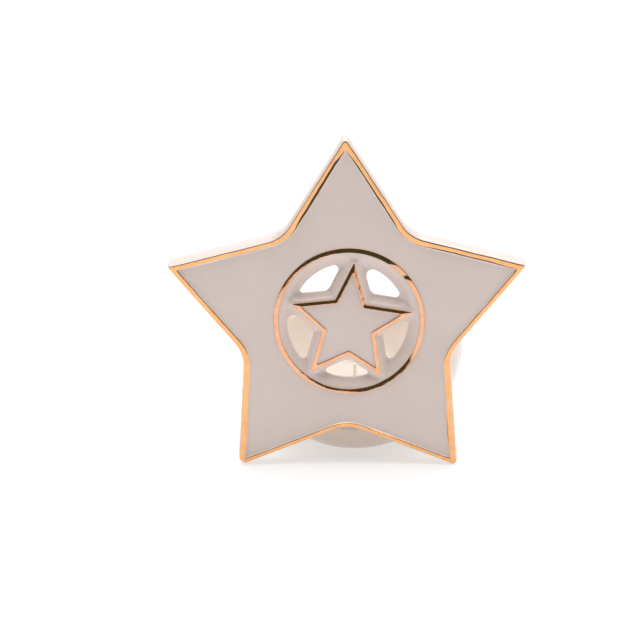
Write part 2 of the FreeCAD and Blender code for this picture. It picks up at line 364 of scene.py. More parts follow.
GOLD_STARTS, GOLD_WIDTHS = over_star(BORDER_STARTS), over_star(BORDER_WIDTHS)
SHOULDER_WIDTHS = GOLD_STARTS - SHOULDER_GAP
RIDGE_FEET = np.minimum(GOLD_STARTS + GOLD_WIDTHS + RIDGE_MARGIN, RIDGE_INNER + 0.1)
# The star's outline at a run of insets, to find a point of the border at any inset between them.
BORDER_INSETS = np.linspace(0, 4.0, 41)
BORDER_NETS = np.array([big_star(inset) for inset in BORDER_INSETS])


def rim_depth(inset, shoulder_width, ridge_foot):
    """Depth of the panel's front behind the crest: steep shoulder, slightly crowned border, face."""
    shoulder = SHOULDER_DEPTH * np.clip(1 - inset / shoulder_width, 0, 1) ** SHOULDER_BEND
    crown = CROWN_DROP * np.clip((inset - CROWN_MIDDLE) / CROWN_HALF, -1, 1) ** 2
    inner = (FACE_DEPTH - CROWN_DROP) * smooth((inset - ridge_foot + RIDGE_RUN) / RIDGE_RUN)
    return shoulder + crown + inner + GILDING_THICK


def face_ripple(x, height):
    """How far the glazed face stands out of true, in millimetres."""
    return 0.05 * wobble(x, 0, height, 24, 3.1) + 0.015 * wobble(x, 0, height, 7, 8.4)


def face_loops(circle, inner_edge):
    """Loops across the glazed face, from the opening to the foot of the border's ridge."""
    loops = []
    for share in np.linspace(0, 1, 15)[:-1]:
        settle = smooth(share * 4) * smooth((1 - share) * 5)
        level = FACE_Y + GILDING_THICK * share
        points = circle + (inner_edge - circle) * share
        loops.append([on_panel(x, h, level + settle * face_ripple(x, h)) for x, h in points])
    return loops


def border_loops():
    """Loops over the raised border, from the ridge's foot out to the widest line."""
    loops = []
    for inset in np.concatenate([np.linspace(RIDGE_INNER, 0.2, 46), [0.12, 0.05, 0.01]]):
        depths = CREST_Y + rim_depth(inset, SHOULDER_WIDTHS, RIDGE_FEET)
        loops.append([on_panel(x, h, y) for (x, h), y in zip(big_star(inset), depths)])
    return loops


def side_loops():
    """Loops down the panel's side and round its back edge."""
    depths = np.linspace(SHOULDER_DEPTH + 0.6, PANEL_DEPTH - BACK_ROUND, 5)
    loops = [flat_loop(big_star(0), CREST_Y + depth) for depth in depths]
    for turn in np.linspace(0, math.pi / 2, 7)[1:]:
        depth = PANEL_DEPTH - BACK_ROUND * (1 - math.sin(turn))
        loops.append(flat_loop(big_star(BACK_ROUND * (1 - math.cos(turn))), CREST_Y + depth))
    return loops


def back_loops(bearing):
    """Loops over the flat back, round the opening's back lip and along the opening's wall."""
    edge, circle = big_star(BACK_ROUND), ring_at(OPENING_RADIUS + OPENING_LIP, bearing)
    loops = [flat_loop(edge + (circle - edge) * share, BACK_Y) for share in np.linspace(0, 1, 9)[1:]]
    for turn in np.linspace(0, math.pi / 2, 6)[1:]:
        radius = OPENING_RADIUS + OPENING_LIP * (1 - math.sin(turn))
        loops.append(flat_loop(ring_at(radius, bearing), BACK_Y - OPENING_LIP * (1 - math.cos(turn))))
    wall = np.linspace(BACK_Y - OPENING_LIP, FACE_Y, 5)[1:-1]
    return loops + [flat_loop(ring_at(OPENING_RADIUS, bearing), y) for y in wall]


def make_panel(material):
    """The star plate as one closed skin: opening edge, face, border, side, back, opening wall."""
    inner_edge = big_star(RIDGE_INNER)
    about = inner_edge - RING_CENTRE
    bearing = np.arctan2(about[:, 1], about[:, 0])
    loops = face_loops(ring_at(OPENING_RADIUS, bearing), inner_edge) + border_loops()
    loops += side_loops() + back_loops(bearing)
    return strip("star_panel_glazed", loops, "holder", material, 50)


def gold_edges():
    """Outer and inner inset of the border's gold at every point of the star's outline."""
    edges = []
    for (x, h), start, width in zip(BORDER_NETS[0], GOLD_STARTS, GOLD_WIDTHS):
        outer = start + 0.13 * wobble(x, 0, h, 6, 1.7) + 0.06 * wobble(x, 0, h, 1.6, 4.2)
        inner = outer + width * (1 + 0.13 * wobble(x, 0, h, 9, 5.5)) + 0.07 * wobble(x, 0, h, 1.8, 2.9)
        edges.append((max(outer, 0.16), min(inner, RIDGE_INNER - 0.35)))
    return edges


def border_row(j, outer, inner, samples, lift=0.0):
    """One section of a thin layer on the border between two insets."""

    def at_inset(share, below):
        s = outer + (inner - outer) * share
        x, h = (np.interp(s, BORDER_INSETS, BORDER_NETS[:, j, k]) for k in (0, 1))
        return on_panel(x, h, CREST_Y + float(rim_depth(s, SHOULDER_WIDTHS[j], RIDGE_FEET[j])) + below)

    row = []
    for share in np.linspace(0, 1, samples):
        film = GILDING_THICK * (1 - abs(2 * share - 1) ** 10) + lift
        row.append(at_inset(share, -film))
    return row + [at_inset(share, GILDING_SETS_IN) for share in (0.8, 0.5, 0.2)]


def gold_strip(name, rows, material, closed=True):
    return strip(name, rows, "holder", material, GOLD_SHARP, closed)


def make_border_gilding(material):
    """The brushed gold band over the raised border, a thin layer of uneven width."""
    rows = [border_row(j, outer, inner, 13) for j, (outer, inner) in enumerate(gold_edges())]
    return gold_strip("border_gilding", rows, material)


def painted_reflection_edge_rows(side, reach, edges):
    """Sections of the painted dark reflection along one side of the border's gold, narrowing towards both
    ends.
    """
    start, end = side_span(side, STAR_ARCS, STAR_SIDE)
    start, end = start + PAINTED_REFLECTION_EDGE_ENDS, end - PAINTED_REFLECTION_EDGE_ENDS
    rows = []
    for j in range(start, end):
        at = j % len(edges)
        _, inner = edges[at]
        x, h = BORDER_NETS[0, at]
        taper = float(smooth(min(j - start, end - 1 - j) / PAINTED_REFLECTION_EDGE_TAPER))
        wide = reach * (0.12 + 0.88 * taper) * (1 + 0.25 * wobble(x, 0, h, 5, 7.7))
        rows.append(border_row(at, inner - wide, inner + 0.04, 7, PAINTED_REFLECTION_EDGE_LIFT))
    return rows


def make_painted_reflection_edges(material):
    """Dark strips painted along the inner edge of the border's gold on some sides, a painted reflection of
    the dark surroundings.
    """
    edges = gold_edges()
    for side, reach in PAINTED_REFLECTION_EDGES:
        gold_strip(f"painted_reflection_edge_{side}", painted_reflection_edge_rows(side, reach, edges), material, closed=False)


def bead_row(centre, across, half_width, lean, samples):
    """One section of a raised line: steep narrow flanks, a slightly crowned top, leaning outwards
    by that many degrees, and a foot sunk a little into the glaze."""

    def at_share(share, y):
        place = centre + across * (half_width * share)
        return on_panel(place[0], place[1], y)

    row = []
    for u in -np.cos(np.linspace(0, math.pi, samples))[::-1]:
        tilt = -min(half_width, BEAD_REACH) * u * math.tan(math.radians(lean))
        square = math.sqrt(max(1 - abs(u) ** BEAD_SQUARENESS, 0))
        stand = (BEAD_HEIGHT + tilt) * square + BEAD_CROWN * (1 - u * u)
        row.append(at_share(u, FACE_Y - min(max(stand, 0.0), FACE_DEPTH - 0.01)))
    return row + [at_share(share, FACE_Y + BEAD_FOOT) for share in (-0.9, -0.3, 0.3, 0.9)]


def make_ring_gilding(material):
    """The gold ring over the joint between panel and medallion."""
    rows = []
    steps = 420
    widest = RING_LINE_WIDTH / 2
    for k in range(steps):
        at = TAU * k / steps
        out = np.array([math.cos(at), math.sin(at)])
        place = RING_CENTRE + out * OPENING_RADIUS
        uneven = wobble(place[0], 0, place[1], 7, 6.3)
        fine = wobble(place[0], 0, place[1], 1.7, 7.1)
        half = widest * min(1 + 0.10 * uneven + 0.05 * fine, 1)
        lean = np.interp(math.degrees(at), *zip(*RING_LEAN)) + 3.0 * uneven + 2.0 * fine
        rows.append(bead_row(place, out, half, lean, 15))
    return gold_strip("ring_gilding", rows, material)


def crossing(first, second):
    """Where two lines, each a point and a direction, cross."""
    (p, u), (q, w) = first, second
    gap = q - p
    share = (gap[0] * w[1] - gap[1] * w[0]) / (u[0] * w[1] - u[1] * w[0])
    return p + u * share


def side_of(start, end, out):
    """The line from start to end moved outwards, as a point and a direction, and its outward normal."""
    along = (end - start) / np.linalg.norm(end - start)
    normal = np.array([along[1], -along[0]])
    return start + normal * out, along, normal


def small_corners(out):
    """Corners of the small star with every side moved outwards."""
    corners = []
    for pair in zip(SMALL_TIPS, SMALL_NOTCHES):
        for radius, bearing in pair:
            at = math.radians(bearing)
            corners.append(SMALL_CENTRE + radius * np.array([math.cos(at), math.sin(at)]))
    count = len(corners)
    sides = [side_of(corners[i], corners[(i + 1) % count], out)[:2] for i in range(count)]
    return [crossing(sides[i - 1], sides[i]) for i in range(count)]


# Points along the small star's outline: round each corner and along each side.
SMALL_ARC = 6
SMALL_SIDE = 30


def small_star(out, tip_round, notch_round, arc_steps=SMALL_ARC, side_steps=SMALL_SIDE):
    """The small star's outline with every side moved outwards and its corners rounded."""
    rounds = (tip_round, notch_round)
    corners = [(*c, rounds[i % 2]) for i, c in enumerate(small_corners(out))]
    return rounded_outline(corners, [arc_steps] * len(corners), side_steps)


def make_small_star_gilding(material):
    """The gold line along the edge of the small star."""
    outer = small_star(0.0, 0.3, 0.3)
    inner = small_star(-SMALL_LINE_WIDTH, 0.25, 1.2)
    rows = []
    lean_at = spread_over_sides(SMALL_LEAN, [SMALL_ARC] * len(SMALL_LEAN), SMALL_SIDE, 9)
    for a, b, side_lean in zip(outer, inner, lean_at):
        uneven = wobble(a[0], 0, a[1], 5, 9.2)
        fine = wobble(a[0], 0, a[1], 1.5, 3.8)
        centre = (a + b) / 2 + (a - b) * 0.04 * fine
        half = np.linalg.norm(a - b) / 2
        across = (a - b) / (2 * half)
        width = half * (0.93 + 0.08 * uneven)
        rows.append(bead_row(centre, across, width, side_lean + 3.0 * uneven + 1.5 * fine, 13))
    return gold_strip("small_star_gilding", rows, material)


# ---- the pierced medallion

MEDALLION_RADIUS = OPENING_RADIUS - 0.05
MEDALLION_BACK = MEDALLION_HIGH[1]
HOLLOW_DEPTH = 2.5
FRONT_LIP = 0.55
BACK_LIP = 1.5
BACK_RIM_LIP = 0.5
LEAST_THICKNESS = 0.3
SAME_PLACE = 1e-6
# How far the skins' rows of points follow the windows and the small star outwards.
FRONT_WINDOW_ROWS = (0.1, 0.22, 0.38, 0.55)
FRONT_STAR_ROWS = (0.1, 0.3, 0.5, 0.7)
BACK_WINDOW_ROWS = (0.15, 0.4, 0.75, 1.1, 1.5)


def arc(centre, from_vector, to_vector, size, steps):
    """Points anticlockwise about a centre, from one direction to another."""
    start = math.atan2(from_vector[1], from_vector[0])
    turn = (math.atan2(to_vector[1], to_vector[0]) - start) % TAU
    at = start + turn * np.linspace(0, 1, steps + 1)
    return list(centre + size * np.stack([np.cos(at), np.sin(at)], 1))


def rim_rounding(side, radius, rounding, ahead):
    """Centre of the rounding between a window's straight side and its round one."""
    point, along, out = side
    base = point + out * rounding - RING_CENTRE
    b = base @ along
    root = math.sqrt(b * b - (base @ base - (radius - rounding) ** 2))
    return RING_CENTRE + base + along * ((root if ahead else -root) - b)


def without_doubles(points):
    """A closed outline with every point that repeats the one before it left out."""
    kept = points[:1]
    for point in points[1:]:
        if np.linalg.norm(point - kept[-1]) > SAME_PLACE:
            kept.append(point)
    if np.linalg.norm(kept[0] - kept[-1]) < SAME_PLACE:
        kept.pop()
    return np.array(kept)


def window_outline(index, grow=0.0, arc_steps=8, side_steps=12):
    """A window's outline, grown outwards: two straight sides, one round side, rounded corners."""
    radius, first_gap, second_gap, roundings = WINDOWS[index]
    radius += grow
    at_apex, at_first, at_second = (size + grow for size in roundings)
    corners = small_corners(0.0)
    tip_a, notch, tip_b = (corners[(2 * index + k) % len(corners)] for k in range(3))
    first = side_of(tip_a, notch, first_gap - grow)
    second = side_of(notch, tip_b, second_gap - grow)
    (p, u, n), (q, w, m) = first, second
    near_apex = crossing((p + n * at_apex, u), (q + m * at_apex, w))
    first_rim = rim_rounding(first, radius, at_first, False)
    second_rim = rim_rounding(second, radius, at_second, True)
    first_out, second_out = first_rim - RING_CENTRE, second_rim - RING_CENTRE
    arcs = (
        arc(near_apex, -m, -n, at_apex, arc_steps),
        arc(first_rim, -n, first_out, at_first, arc_steps),
        arc(RING_CENTRE, first_out, second_out, radius, side_steps * 2),
        arc(second_rim, second_out, -m, at_second, arc_steps),
    )
    return without_doubles(with_straights(arcs, side_steps))


def inside(points, loop):
    """Which points lie inside a closed outline."""
    x, y = points[:, 0][:, None], points[:, 1][:, None]
    x0, y0 = loop[:, 0][None], loop[:, 1][None]
    x1, y1 = np.roll(loop[:, 0], -1)[None], np.roll(loop[:, 1], -1)[None]
    spans = (y0 > y) != (y1 > y)
    cross_x = x0 + (y - y0) * (x1 - x0) / np.where(y1 == y0, 1e-12, y1 - y0)
    return (spans & (x < cross_x)).sum(1) % 2 == 1


def distance_to(points, loop):
    """Shortest distance from each point to a closed outline."""
    a = loop[None]
    ab = (np.roll(loop, -1, 0) - loop)[None]
    ap = points[:, None] - a
    share = np.clip((ap * ab).sum(2) / ((ab * ab).sum(2) + 1e-12), 0, 1)
    return np.sqrt(((ap - ab * share[..., None]) ** 2).sum(2)).min(1)


def hollow_depth(points):
    """Depth of the medallion's front below its face: two slopes that meet in a soft valley."""
    from_ring = MEDALLION_RADIUS - np.linalg.norm(points - RING_CENTRE, axis=1)
    edge = small_star(0.0, 0.3, 0.3)
    from_star = distance_to(points, edge) * np.where(inside(points, edge), -1, 1)
    ring_side = soft_ramp(from_ring, 0.95, 0.25, 0.80)
    star_side = soft_ramp(from_star, 0.35, 0.3, 1.25)
    blend = np.minimum(0.5 * np.minimum(ring_side, star_side), 0.5)
    hollow = soft_min(ring_side, star_side, blend)
    return soft_min(hollow, HOLLOW_DEPTH, np.minimum(0.5 * hollow, 0.5))


def quarter(distance, size):
    """How far a rounded edge of that size has fallen away at a distance from its brink."""
    along = np.clip(1 - distance / size, 0, 1)
    return size * (1 - np.sqrt(1 - along * along))


def hex_grid(step, radius):
    """Points a step apart in a triangular grid over a disc about the ring's centre."""
    rows = []
    row_gap = step * 0.866
    count = int(radius / row_gap) + 1
    for j in range(-count, count + 1):
        across = np.arange(-radius - step, radius + step, step) + (step / 2 if j % 2 else 0)
        rows.append(np.stack([across, np.full(len(across), j * row_gap)], 1))
    grid = np.concatenate(rows)
    return grid[np.linalg.norm(grid, axis=1) < radius] + RING_CENTRE


def clear_points(row, windows, earlier):
    """The points of a row that lie on the disc, off the windows and apart from earlier rows."""
    clear = np.linalg.norm(row - RING_CENTRE, axis=1) < MEDALLION_RADIUS - 0.2
    for window in windows:
        clear &= ~inside(row, window) & (distance_to(row, window) > 0.09)
    for other in earlier:
        if len(other):
            clear &= np.linalg.norm(row[:, None] - other[None], axis=2).min(1) > 0.12
    return row[clear]


def pierced_sheet(step, rim, windows, rows):
    """Triangles over the medallion's disc outside the windows.

    Returns the points, the triangles, and where the rim's and each window's points start.
    """
    loops = [rim] + windows
    grid = hex_grid(step, MEDALLION_RADIUS - 0.4 * step)
    for window in windows:
        grid = grid[~inside(grid, window)]
    for loop in loops + rows:
        grid = grid[distance_to(grid, loop) > 0.45 * step]
    kept_rows = []
    for row in rows:
        kept_rows.append(clear_points(row, windows, kept_rows))
    points = np.concatenate(loops + kept_rows + [grid])
    edges, starts, first = [], [], 0
    for loop in loops:
        starts.append(first)
        edges += [(first + k, first + (k + 1) % len(loop)) for k in range(len(loop))]
        first += len(loop)
    _, _, tris, origins, _, _ = delaunay_2d_cdt([Vector(p) for p in points], edges, [], 0, 1e-7)
    tris = np.array([[origins[v][0] for v in tri] for tri in tris])
    middles = points[tris].mean(1)
    pierced = np.any([inside(middles, window) for window in windows], axis=0)
    return points, tris[~pierced], starts


def front_depths(points, to_window, to_rim):
    """Depth of the dished front: the hollow, the windows' soft edges and the glaze's ripple."""
    hollow = hollow_depth(points) * (0.3 + 0.7 * smooth(1.2 - to_window / 4.5))
    deepest = MEDALLION_BACK - FACE_Y - LEAST_THICKNESS
    y = FACE_Y + np.minimum(hollow + quarter(to_window, FRONT_LIP), deepest)
    ripple = np.array([face_ripple(x, h) for x, h in points])
    return y + ripple * np.exp(-hollow) * smooth(to_rim / 2) + 0.02


def back_depths(points, to_window, to_rim):
    """Depth of the flat back, rounded off at the windows and at the rim."""
    return MEDALLION_BACK - quarter(to_window, BACK_LIP) - quarter(to_rim, BACK_RIM_LIP)


def make_medallion(material):
    """The dished disc with its five windows: front skin, back skin and the walls between them."""
    rim = ring_at(MEDALLION_RADIUS, np.linspace(0, TAU, 240, endpoint=False))
    count = len(WINDOWS)
    windows = [window_outline(i) for i in range(count)]
    front_rows = [window_outline(i, grow) for grow in FRONT_WINDOW_ROWS for i in range(count)]
    front_rows += [small_star(out, 0.4, 0.4, 8, 40) for out in FRONT_STAR_ROWS]
    back_rows = [window_outline(i, grow) for grow in BACK_WINDOW_ROWS for i in range(count)]
    verts, faces, borders = [], [], []
    for depths, step, rows in ((front_depths, 0.42, front_rows), (back_depths, 1.1, back_rows)):
        points, tris, starts = pierced_sheet(step, rim, windows, rows)
        to_window = np.min([distance_to(points, w) for w in windows], axis=0)
        to_rim = MEDALLION_RADIUS - np.linalg.norm(points - RING_CENTRE, axis=1)
        first = len(verts)
        y = depths(points, to_window, to_rim)
        verts += [on_panel(p[0], p[1], depth) for p, depth in zip(points, y)]
        faces += [tuple(int(v) + first for v in tri) for tri in tris]
        borders.append([first + start for start in starts])
    for front, back, loop in zip(*borders, [rim] + windows):
        for k in range(len(loop)):
            after = (k + 1) % len(loop)
            faces.append((front + k, front + after, back + after, back + k))
    return add_mesh("pierced_medallion_glazed", verts, faces, "holder", material, 60)


# ---- the cup

FOOT_RADIUS = 14.6
WIDEST_HEIGHT = 32.8
WALL = 4.0
FLOOR_RADIUS = 20.6
FLOOR_HEIGHT = 7.5
# How far the cup's cut edge runs into the panel's back, and the size of the fillets beside it.
CUP_SINKS_IN = 0.3
LUTING_SIZE = 1.15
LUTING_SINKS_IN = 0.3
LUTING_FOOT = 9.2


def arc_centre(start_radius, end_radius, rise):
    """Distance from the cup's axis to the centre of an arc that ends upright after that rise."""
    r0, r1 = start_radius, end_radius
    return (r1 * r1 - r0 * r0 - rise * rise) / (2 * (r1 - r0))


def bowl_arc(start, end_radius, share):
    """A point on the arc that leaves start and stands upright at the widest line."""
    r0, h0 = start
    rise = WIDEST_HEIGHT - h0
    centre = arc_centre(r0, end_radius, rise)
    radius = end_radius - centre
    at = math.atan2(rise, r0 - centre) * (1 - share)
    return centre + radius * math.cos(at), WIDEST_HEIGHT - radius * math.sin(at)


def bend(start, corner, end, steps):
    """Points of a soft bend from start to end, drawn towards corner."""
    start, corner, end = (np.asarray(point, float) for point in (start, corner, end))
    shares = np.linspace(0, 1, steps + 1)
    return [(1 - t) ** 2 * start + 2 * t * (1 - t) * corner + t * t * end for t in shares]


OUTER_ARC_CENTRE = arc_centre(FOOT_RADIUS, CUP_RADIUS, WIDEST_HEIGHT)


def cup_outer(share):
    return bowl_arc((FOOT_RADIUS, 0), CUP_RADIUS, share)


def cup_inner(share):
    return bowl_arc((FLOOR_RADIUS, FLOOR_HEIGHT), CUP_RADIUS - WALL, share)


def cup_outer_radius(height):
    """Radius of the cup's outside at a height; above its widest line the cup is straight."""
    below = WIDEST_HEIGHT - min(height, WIDEST_HEIGHT)
    return OUTER_ARC_CENTRE + math.sqrt((CUP_RADIUS - OUTER_ARC_CENTRE) ** 2 - below**2)


def cup_section():
    """The bowl's section, from the axis under the foot, round the lip, to the axis over the floor."""
    lip = WALL / 2
    lip_r, lip_h = CUP_RADIUS - lip, CUP_RIM_HEIGHT - lip
    section = [(r, 0) for r in (0, 5, 10)]
    section += bend((FOOT_RADIUS - 1.0, 0), (FOOT_RADIUS, 0), cup_outer(0.02), 5)
    section += [cup_outer(s) for s in np.linspace(0.05, 1, 34)]
    section += [(lip_r + lip * math.cos(t), lip_h + lip * math.sin(t)) for t in np.linspace(0, math.pi, 15)]
    section += [cup_inner(s) for s in np.linspace(1, 0.05, 26)]
    section += bend(cup_inner(0.03), (FLOOR_RADIUS, FLOOR_HEIGHT), (FLOOR_RADIUS - 1.0, FLOOR_HEIGHT), 4)
    return section + [(r, FLOOR_HEIGHT) for r in (15, 9, 4, 0)]


def prism(name, outline, y_from, y_to):
    """A closed solid from a flat outline in the panel's plane, between two depths."""
    count = len(outline)
    verts = [on_panel(x, h, y_from) for x, h in outline] + [on_panel(x, h, y_to) for x, h in outline]
    faces = [tuple(range(count)), tuple(range(2 * count - 1, count - 1, -1))]
    faces += [(k, k + count, (k + 1) % count + count, (k + 1) % count) for k in range(count)]
    return link_mesh(name, verts, faces)


def cut_away(obj, cutters):
    """Takes the cutters out of a mesh object for good."""
    for cutter in cutters:
        step = obj.modifiers.new("cut", "BOOLEAN")
        step.operation = "DIFFERENCE"
        step.solver = "EXACT"
        step.object = cutter
    bpy.context.view_layer.update()
    seen = obj.evaluated_get(bpy.context.evaluated_depsgraph_get())
    made = bpy.data.meshes.new_from_object(seen)
    obj.modifiers.clear()
    obj.data = made
    for cutter in cutters:
        bpy.data.objects.remove(cutter, do_unlink=True)


def make_cup(material):
    """The bowl, trimmed to the panel: it stops at the panel's back and passes under its lower edge."""

    def thrown(r, h, at):
        if not 0.5 < h < CUP_RIM_HEIGHT - 0.5:
            return r, h
        uneven = wobble(r * math.cos(at), r * math.sin(at), h, 16, 2.2)
        return r * (1 - 0.0012 + 0.0012 * uneven), h

    obj = lathe("cup_glazed", cup_section(), 288, "holder", material, thrown, 32)
    star = prism("cup_cutter", big_star(CUP_SINKS_IN), CREST_Y - 20, BACK_Y - CUP_SINKS_IN)
    side = 3 * CUP_RADIUS
    front = CREST_Y + SHOULDER_DEPTH - 0.1
    square = np.array([(-side, -side), (side, -side), (side, side), (-side, side)])
    cut_away(obj, [star, prism("front_cutter", square, front - side, front)])
    shade_smooth(obj.data, 32)
    return obj


def luting_row(place, along, share_of_size):
    """One section of the fillet: a hollow curve from the panel's back to the cup, its foot sunk in."""
    flat = np.array([place[0] - CUP_AXIS[0], place[1] - CUP_AXIS[1], 0]) / cup_outer_radius(place[2])
    below = WIDEST_HEIGHT - min(place[2], WIDEST_HEIGHT)
    tilt = math.atan2(below, cup_outer_radius(place[2]) - OUTER_ARC_CENTRE)
    normal = flat * math.cos(tilt) - np.array([0, 0, math.sin(tilt)])
    into_back = np.array([0, -LUTING_SINKS_IN, 0])
    into_cup = -normal * LUTING_SINKS_IN
    on_back = np.cross(along, np.array([0, 1.0, 0]))
    on_back *= math.copysign(1, on_back @ normal)
    on_cup = np.cross(normal, along)
    on_cup *= math.copysign(1, on_cup[1])
    size = (LUTING_SIZE + 0.25 * wobble(*place, 9, 4.4)) * share_of_size
    a, b = place + on_back * size, place + on_cup * size
    row = bend(a, place + (on_back + on_cup) * size * 0.12, b, 6)
    return row + [b + into_cup + on_cup * 0.1, place + into_cup + into_back, a + into_back + on_back * 0.1]


def make_luting(material):
    """The fillet of slip and glaze where the cup meets the panel's back, one run on each side."""
    reach = BACK_Y - CUP_AXIS[1]
    heights = np.linspace(CUP_RIM_HEIGHT - WALL / 2 + 0.4, LUTING_FOOT, 60)
    outs = [math.sqrt(cup_outer_radius(z) ** 2 - reach**2) for z in heights]
    for name, side in (("luting_left", -1), ("luting_right", 1)):
        path = [np.array([CUP_AXIS[0] + side * out, BACK_Y, z]) for out, z in zip(outs, heights)]
        rows = []
        for k, place in enumerate(path):
            along = path[min(k + 1, len(path) - 1)] - path[max(k - 1, 0)]
            along /= np.linalg.norm(along)
            ends = float(smooth(min(k, len(path) - 1 - k) / 6))
            rows.append(luting_row(place, along, 0.25 + 0.75 * ends))
        strip(name, rows, "holder", material, 60, closed=False)


# ---- the tealight

CAN_BEAD = 0.45
CAN_WALL = 0.3
FLUTES = 60
FLUTE_DEPTH = 0.10
# The wax: how far its middle sank, and how far it creeps up the wick and down beside the can.
WAX_SAG = 0.45
WAX_UP_WICK = 0.42
WAX_OFF_CAN = 0.28
# The wick's braid: how fast its strands wind, in radians a millimetre, and the share of the wick's
# radius by which they stand out.
BRAID_PITCH = 2.6
BRAID_RELIEF = 0.20


def make_can(material):
    """The thin can: fluted wall, rolled top edge, stiffening ring in its floor."""
    low, high = CAN_LOW[2], CAN_HIGH[2]
    outer = (CAN_HIGH[0] - CAN_LOW[0]) / 2 - CAN_BEAD + CAN_WALL / 2
    bead_r, bead_h = outer - CAN_WALL / 2, high - CAN_BEAD
    profile = [(0, low + 0.25), (7, low + 0.25), (8, low + 0.05), (9, low), (14, low)]
    profile += bend((outer - 1.2, low), (outer, low), (outer, low + 1.2), 5)
    profile += [(outer, h) for h in np.linspace(low + 1.8, bead_h - CAN_BEAD, 12)]
    turns = np.linspace(-math.pi * 0.36, math.pi * 1.36, 15)
    profile += [(bead_r + CAN_BEAD * math.cos(t), bead_h + CAN_BEAD * math.sin(t)) for t in turns]
    inner = outer - CAN_WALL
    profile += [(inner, h) for h in np.linspace(bead_h - CAN_BEAD, low + 1.2, 8)]
    profile += [(inner - 0.8, low + CAN_WALL + 0.05), (0, low + CAN_WALL + 0.05)]

    def flute(r, h, at):
        share = smooth((h - low - 1.2) / 1.0) * smooth((bead_h - 1.0 - h) / 1.0)
        if r < inner - 0.1 or r > outer + 0.02:
            share = 0.0
        return r - FLUTE_DEPTH * float(share) * (0.5 + 0.5 * math.cos(FLUTES * at)), h

    return lathe("tealight_can_fluted", profile, 480, "tealight", material, flute, 50)


def wax_section(hole, outer, low, high):
    """The wax's section as (radius, height): top from wick to can, side, underside, bore."""
    section = []
    for r in np.linspace(hole, outer, 46):
        level = -WAX_SAG * (1 - (r / outer) ** 2) - 0.03
        level += WAX_UP_WICK * math.exp(-(r - hole) / 0.7)
        level -= WAX_OFF_CAN * (1 - math.exp(-(outer - r) / 0.8))
        section.append((r, min(high + level, high)))
    section += [(outer, h) for h in np.linspace(high - 1.0, low, 6)]
    section += [(outer * 0.7, low), (6.2, low), (6.2, low + 0.4), (1.4, low + 0.45), (1.4, low + 2.9)]
    return section + [(hole, h) for h in (low + 2.95, *np.linspace(low + 4, high - 1.0, 4))]


def make_wax(material):
    """The wax: slightly sunk towards the middle, drawn up a little at the can and at the wick."""
    low, high = WAX_LOW[2], WAX_HIGH[2]
    outer = (WAX_HIGH[0] - WAX_LOW[0]) / 2
    hole = (WICK_HIGH[0] - WICK_LOW[0]) / 2 + 0.03
    steps = 128
    rows = []
    for r, h in wax_section(hole, outer, low, high):
        row = []
        for k in range(steps):
            x, y = r * math.cos(TAU * k / steps), r * math.sin(TAU * k / steps)
            sag = 0.05 * wobble(x, y, 0, 7, 5.0) * float(smooth((outer - r) / 2)) if h > high - 1 else 0.0
            row.append((CUP_AXIS[0] + x, CUP_AXIS[1] + y, h + min(sag, 0) - 0.01))
        rows.append(row)
    return strip("tealight_wax_poured", rows, "tealight", material, 45)


def make_wick(material):
    """The wick: a braided cotton cord, stiff with wax, cut straight at the top."""
    low, high = WICK_LOW[2], WICK_HIGH[2]
    radius = (WICK_HIGH[0] - WICK_LOW[0]) / 2
    heights = np.linspace(low, high, 190)

    def braid(r, h, at):
        turned = BRAID_PITCH * (h - low)
        strand = max(abs(math.sin(1.5 * at + turned)), abs(math.sin(1.5 * at - turned)))
        end = float(smooth((high - h) / 0.35))
        return r * (1 - BRAID_RELIEF + BRAID_RELIEF * strand) * (0.72 + 0.28 * end), h

    section = [(0, low), *((radius, h) for h in heights), (0, high)]
    return lathe("tealight_wick_braided", section, 30, "tealight", material, braid, 60)


# ---- materials

# Colours as linear red, green and blue. Each pair is the darker and the lighter end of its mottling.
GLAZE = ((0.82, 0.68, 0.63), (0.86, 0.72, 0.67))
CUP_GLAZE = ((0.82, 0.695, 0.63), (0.85, 0.725, 0.66))
# Painted light and shade on the cup: a paler colour for its inside and a darker, browner one for its
# outside near the foot.
CUP_PAINTED_LIGHT_INSIDE = (0.97, 0.875, 0.785)
CUP_PAINTED_SHADE_BELOW = (0.64, 0.53, 0.455)
BARE_CLAY = ((0.66, 0.58, 0.50), (0.76, 0.69, 0.62))
BORDER_LUSTRE = ((0.80, 0.40, 0.17), (0.89, 0.47, 0.21))
INNER_LUSTRE = ((0.75, 0.38, 0.21), (0.83, 0.45, 0.27))
# Near-black brown for the painted dark reflection along the inner edge of the border's gold.
PAINTED_REFLECTION_LUSTRE = ((0.045, 0.030, 0.013), (0.09, 0.06, 0.03))
ALUMINIUM = ((0.70, 0.70, 0.70), (0.82, 0.82, 0.81))
WAX = ((0.68, 0.60, 0.53), (0.72, 0.64, 0.57))
COTTON = ((0.90, 0.84, 0.75), (0.95, 0.90, 0.81))
TIN = ((0.52, 0.52, 0.50), (0.66, 0.66, 0.64))
SHEET = ((0.60, 0.60, 0.60), (0.61, 0.61, 0.61))

# Most of a noise's values lie between these two.
NOISE_LOW, NOISE_HIGH = 0.3, 0.7

# Heights and distances on the cup, in metres: over which height painted shade darkens and browns its
# outside towards the foot, how near the bowl's middle painted light makes it paler inside, and where the
# glaze was wiped off the clay.
PAINTED_SHADE_HEIGHTS = (0.024, 0.012)
PAINTED_LIGHT_REACH = (0.0340, 0.0350)
GLAZE_STARTS = (0.0003, 0.0005)


def set_inputs(tree, node, values):
    """Sets a node's inputs by name or number: a socket is linked, anything else is a plain value."""
    for key, value in values.items():
        if isinstance(value, bpy.types.NodeSocket):
            tree.links.new(value, node.inputs[key])
        else:
            node.inputs[key].default_value = value


def add_node(tree, kind, values=None):
    node = tree.nodes.new("ShaderNode" + kind)
    set_inputs(tree, node, values or {})
    return node


